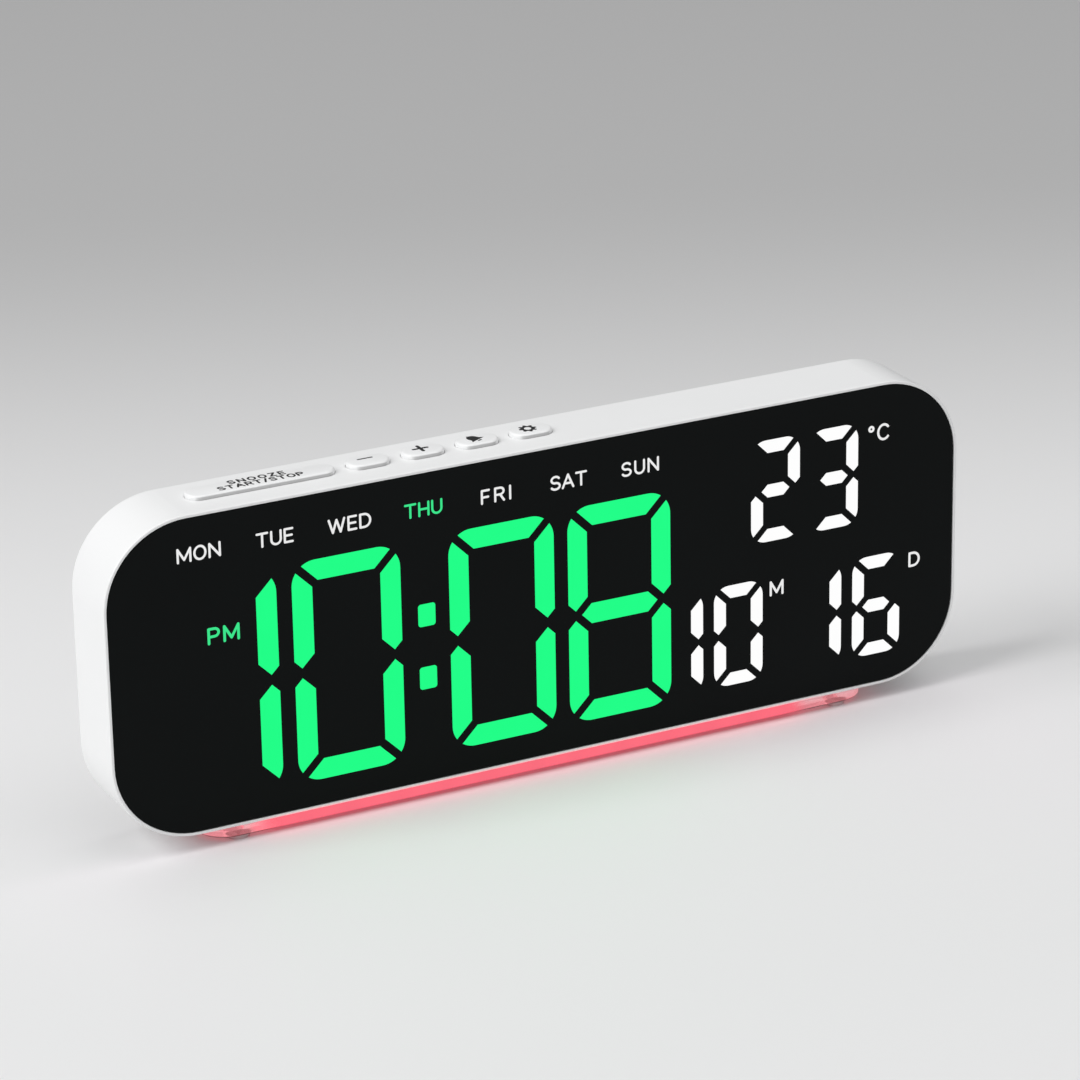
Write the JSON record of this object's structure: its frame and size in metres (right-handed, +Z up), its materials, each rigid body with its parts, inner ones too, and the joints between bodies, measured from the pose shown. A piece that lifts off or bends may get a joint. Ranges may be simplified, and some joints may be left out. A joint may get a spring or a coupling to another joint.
{
  "type": "digital led desk clock",
  "caption": "Slim LED desk clock with a full-width smoked lens, sprung keys on top, a lit acrylic plate for its foot, a backup cell bay and a power inlet behind.",
  "frame": {"origin": "on the desk, under the middle of the case", "axes": "+Z up, +X to the right seen from the front, +Y to the back; the lens faces -Y"},
  "size_m": [0.182, 0.016, 0.0683],
  "materials": {
    "case_white": "satin",
    "key_white": "satin",
    "smoked_lens": "polished",
    "film_white": "matte",
    "housing_white": "matte",
    "segment_green": "frosted",
    "segment_white": "frosted",
    "chip_amber": "gloss",
    "board_green": "gloss",
    "board_white": "gloss",
    "screw_steel": "satin",
    "black_resin": "matte",
    "bright_metal": "bright",
    "can_aluminium": "satin",
    "buzzer_black": "matte",
    "sensor_bead": "gloss",
    "switch_black": "matte",
    "plunger_black": "matte",
    "cell_steel": "brushed",
    "contact_nickel": "satin",
    "ribbon_grey": "matte",
    "plate_red": "polished",
    "foot_rubber": "matte"
  },
  "bodies": {
    "clock": {"case": "case_white", "back_cover": "case_white", "lens": "smoked_lens", "diffuser_film": "film_white", "light_housing": "housing_white", "time_segments": "segment_green", "date_segments": "segment_white", "display_chips": "chip_amber", "glow_chips": "chip_amber", "main_board": "board_green", "glow_board": "board_white", "board_screws": "screw_steel", "cover_screws": "screw_steel", "plate_screws": "screw_steel", "controller": "black_resin", "regulator": "black_resin", "inlet_tongue": "black_resin", "crystal": "bright_metal", "capacitors": "can_aluminium", "buzzer": "buzzer_black", "heat_sensor": "sensor_bead", "key_switches": "switch_black", "power_inlet": "bright_metal", "backup_cell": "cell_steel", "floor_contact": "contact_nickel", "side_contact": "contact_nickel", "glow_link": "ribbon_grey", "light_plate": "plate_red", "feet": "foot_rubber"},
    "snooze_bar": {"snooze_bar": "key_white", "snooze_plunger": "plunger_black"},
    "minus_key": {"minus_key": "key_white", "minus_plunger": "plunger_black"},
    "plus_key": {"plus_key": "key_white", "plus_plunger": "plunger_black"},
    "alarm_key": {"alarm_key": "key_white", "alarm_plunger": "plunger_black"},
    "set_key": {"set_key": "key_white", "set_plunger": "plunger_black"},
    "battery_door": {"battery_door": "case_white"}
  },
  "joints": [
    {"name": "snooze_bar_press", "type": "slide", "parent": "clock", "child": "snooze_bar", "axis": [0, 0, -1], "range_m": [0, 0.0004], "stiffness_N_per_m": 2500},
    {"name": "minus_key_press", "type": "slide", "parent": "clock", "child": "minus_key", "axis": [0, 0, -1], "range_m": [0, 0.0004], "stiffness_N_per_m": 2500},
    {"name": "plus_key_press", "type": "slide", "parent": "clock", "child": "plus_key", "axis": [0, 0, -1], "range_m": [0, 0.0004], "stiffness_N_per_m": 2500},
    {"name": "alarm_key_press", "type": "slide", "parent": "clock", "child": "alarm_key", "axis": [0, 0, -1], "range_m": [0, 0.0004], "stiffness_N_per_m": 2500},
    {"name": "set_key_press", "type": "slide", "parent": "clock", "child": "set_key", "axis": [0, 0, -1], "range_m": [0, 0.0004], "stiffness_N_per_m": 2500},
    {"name": "battery_door_lift", "type": "slide", "parent": "clock", "child": "battery_door", "axis": [0, 1, 0], "range_m": [0, 0.012]}
  ]
}
